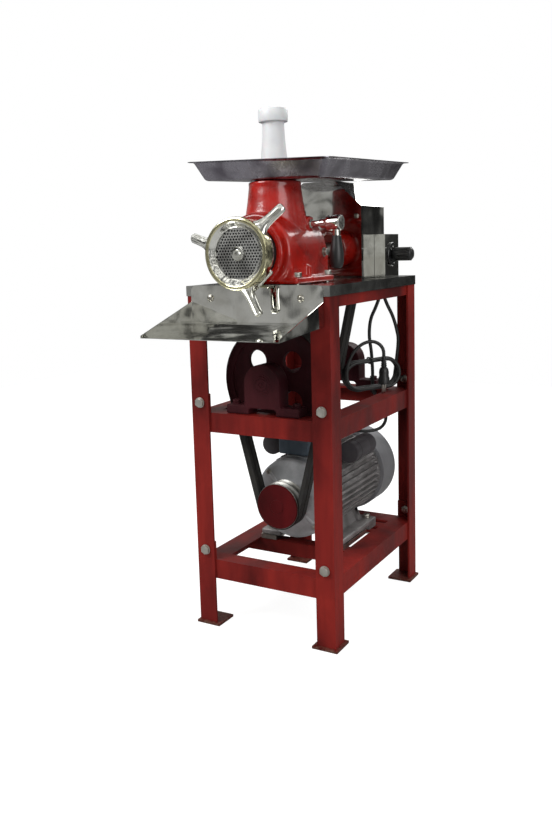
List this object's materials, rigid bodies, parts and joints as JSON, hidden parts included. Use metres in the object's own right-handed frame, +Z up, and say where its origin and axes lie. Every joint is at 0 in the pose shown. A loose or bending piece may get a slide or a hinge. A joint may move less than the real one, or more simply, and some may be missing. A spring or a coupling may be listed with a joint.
{
  "type": "belt-driven meat grinder",
  "caption": "Electric meat grinder on an angle-iron floor stand, with a feed pan, pusher, ring nut, discharge tray and a two-stage V-belt drive.",
  "frame": {"origin": "on the floor, under the middle of the machine seen from above, with the free cord left out", "axes": "-Y is the front with the grinding plate and the tray, +X is the operator's right with the switch, +Z is up"},
  "size_m": [0.333, 0.64, 1.034],
  "materials": {
    "leg_front_left": "satin oxide-red paint",
    "leg_front_right": "satin oxide-red paint",
    "leg_rear_left": "satin oxide-red paint",
    "leg_rear_right": "satin oxide-red paint",
    "top_frame": "satin oxide-red paint",
    "shelf_frame": "satin oxide-red paint",
    "bottom_frame": "satin oxide-red paint",
    "leg_bolt_front_left_shelf": "zinc-plated",
    "leg_bolt_front_left_bed": "zinc-plated",
    "leg_bolt_front_right_shelf": "zinc-plated",
    "leg_bolt_front_right_bed": "zinc-plated",
    "leg_bolt_rear_left_shelf": "zinc-plated",
    "leg_bolt_rear_left_bed": "zinc-plated",
    "leg_bolt_rear_right_shelf": "zinc-plated",
    "leg_bolt_rear_right_bed": "zinc-plated",
    "deck_sheet": "polished stainless sheet",
    "discharge_tray": "polished stainless sheet",
    "tray_screw_left": "zinc-plated",
    "tray_screw_right": "zinc-plated",
    "grinder_body": "glossy red enamel on cast iron",
    "barrel": "tinned cast iron",
    "ring_nut": "polished",
    "grinding_plate": "ground steel",
    "knife": "ground steel",
    "auger": "tinned",
    "drive_shaft": "turned",
    "barrel_lock_ring": "polished",
    "clamp_hub": "polished",
    "clamp_handle": "black satin plastic",
    "feed_pan": "stainless sheet",
    "pusher": "white food-grade plastic",
    "belt_guard": "polished stainless sheet",
    "top_pulley": "turned",
    "countershaft": "turned",
    "big_pulley": "dark maroon paint",
    "small_pulley": "dark maroon paint",
    "motor_pulley": "dark maroon paint",
    "lower_belt_1": "black wrapped belt",
    "lower_belt_2": "black wrapped belt",
    "upper_belt_1": "black wrapped belt",
    "upper_belt_2": "black wrapped belt",
    "front_bearing_block": "dark maroon paint",
    "rear_bearing_block": "dark maroon paint",
    "motor_housing": "cast",
    "motor_front_shield": "cast",
    "motor_fan_cowl": "grey paint",
    "motor_rotor": "turned",
    "terminal_box": "blue-grey paint",
    "capacitor_left": "grey",
    "capacitor_right": "grey",
    "packing_strip_left": "mill finish",
    "packing_strip_right": "mill finish",
    "switch_box": "polished stainless sheet",
    "switch_dial_plate": "black plastic",
    "switch_knob": "black plastic",
    "mains_cord": "black cable sheath",
    "mains_cord_end": "black cable sheath",
    "mains_hank": "black cable sheath",
    "motor_lead": "black cable sheath",
    "mains_plug": "black plastic"
  },
  "bodies": {
    "stand": {"leg_front_left": "leg_front_left", "leg_front_right": "leg_front_right", "leg_rear_left": "leg_rear_left", "leg_rear_right": "leg_rear_right", "top_frame": "top_frame", "shelf_frame": "shelf_frame", "bottom_frame": "bottom_frame", "leg_bolt_front_left_shelf": "leg_bolt_front_left_shelf", "leg_bolt_front_left_bed": "leg_bolt_front_left_bed", "leg_bolt_front_right_shelf": "leg_bolt_front_right_shelf", "leg_bolt_front_right_bed": "leg_bolt_front_right_bed", "leg_bolt_rear_left_shelf": "leg_bolt_rear_left_shelf", "leg_bolt_rear_left_bed": "leg_bolt_rear_left_bed", "leg_bolt_rear_right_shelf": "leg_bolt_rear_right_shelf", "leg_bolt_rear_right_bed": "leg_bolt_rear_right_bed", "deck_sheet": "deck_sheet", "discharge_tray": "discharge_tray", "tray_screw_left": "tray_screw_left", "tray_screw_right": "tray_screw_right", "grinder_body": "grinder_body", "barrel": "barrel", "grinding_plate": "grinding_plate", "belt_guard": "belt_guard", "lower_belt_1": "lower_belt_1", "lower_belt_2": "lower_belt_2", "upper_belt_1": "upper_belt_1", "upper_belt_2": "upper_belt_2", "front_bearing_block": "front_bearing_block", "rear_bearing_block": "rear_bearing_block", "motor_housing": "motor_housing", "motor_front_shield": "motor_front_shield", "motor_fan_cowl": "motor_fan_cowl", "terminal_box": "terminal_box", "capacitor_left": "capacitor_left", "capacitor_right": "capacitor_right", "packing_strip_left": "packing_strip_left", "packing_strip_right": "packing_strip_right", "switch_box": "switch_box", "switch_dial_plate": "switch_dial_plate", "mains_cord": "mains_cord", "mains_cord_end": "mains_cord_end", "mains_hank": "mains_hank", "motor_lead": "motor_lead", "mains_plug": "mains_plug"},
    "motor_rotor": {"motor_rotor": "motor_rotor", "motor_pulley": "motor_pulley"},
    "countershaft": {"countershaft": "countershaft", "big_pulley": "big_pulley", "small_pulley": "small_pulley"},
    "grinding_drive": {"drive_shaft": "drive_shaft", "top_pulley": "top_pulley", "auger": "auger", "knife": "knife"},
    "ring_nut": {"ring_nut": "ring_nut"},
    "lock_ring": {"barrel_lock_ring": "barrel_lock_ring"},
    "clamp_lever": {"clamp_hub": "clamp_hub", "clamp_handle": "clamp_handle"},
    "switch_knob": {"switch_knob": "switch_knob"},
    "pusher": {"pusher": "pusher"},
    "feed_pan": {"feed_pan": "feed_pan"}
  },
  "joints": [
    {"name": "motor_spin", "type": "hinge", "parent": "stand", "child": "motor_rotor", "pos_m": [-0.0055, 0.065, 0.2505], "axis": [0, 1, 0], "continuous": true},
    {"name": "countershaft_spin", "type": "hinge", "parent": "stand", "child": "countershaft", "pos_m": [-0.0055, 0.065, 0.508], "axis": [0, 1, 0], "continuous": true},
    {"name": "drive_spin", "type": "hinge", "parent": "stand", "child": "grinding_drive", "pos_m": [-0.0055, 0.065, 0.761], "axis": [0, 1, 0], "continuous": true},
    {"name": "ring_nut_turn", "type": "hinge", "parent": "stand", "child": "ring_nut", "pos_m": [-0.0055, -0.219, 0.761], "axis": [0, -1, 0], "range_deg": [0, 1080]},
    {"name": "lock_ring_turn", "type": "hinge", "parent": "stand", "child": "lock_ring", "pos_m": [-0.0055, -0.187, 0.761], "axis": [0, -1, 0], "range_deg": [0, 60]},
    {"name": "clamp_turn", "type": "hinge", "parent": "stand", "child": "clamp_lever", "pos_m": [0.0925, -0.04, 0.814], "axis": [1, 0, 0], "range_deg": [-90, 90]},
    {"name": "switch_turn", "type": "hinge", "parent": "stand", "child": "switch_knob", "pos_m": [0.1165, 0.233, 0.7485], "axis": [1, 0, 0], "range_deg": [0, 90]},
    {"name": "pusher_slide", "type": "slide", "parent": "stand", "child": "pusher", "axis": [0, 0, 1], "range_m": [0, 0.12]},
    {"name": "pan_lift", "type": "slide", "parent": "stand", "child": "feed_pan", "axis": [0, 0, 1], "range_m": [0, 0.06]}
  ],
  "couplings": [
    {"joint": "countershaft_spin", "follows": "motor_spin", "ratio": 0.4037},
    {"joint": "drive_spin", "follows": "motor_spin", "ratio": 0.1313}
  ]
}
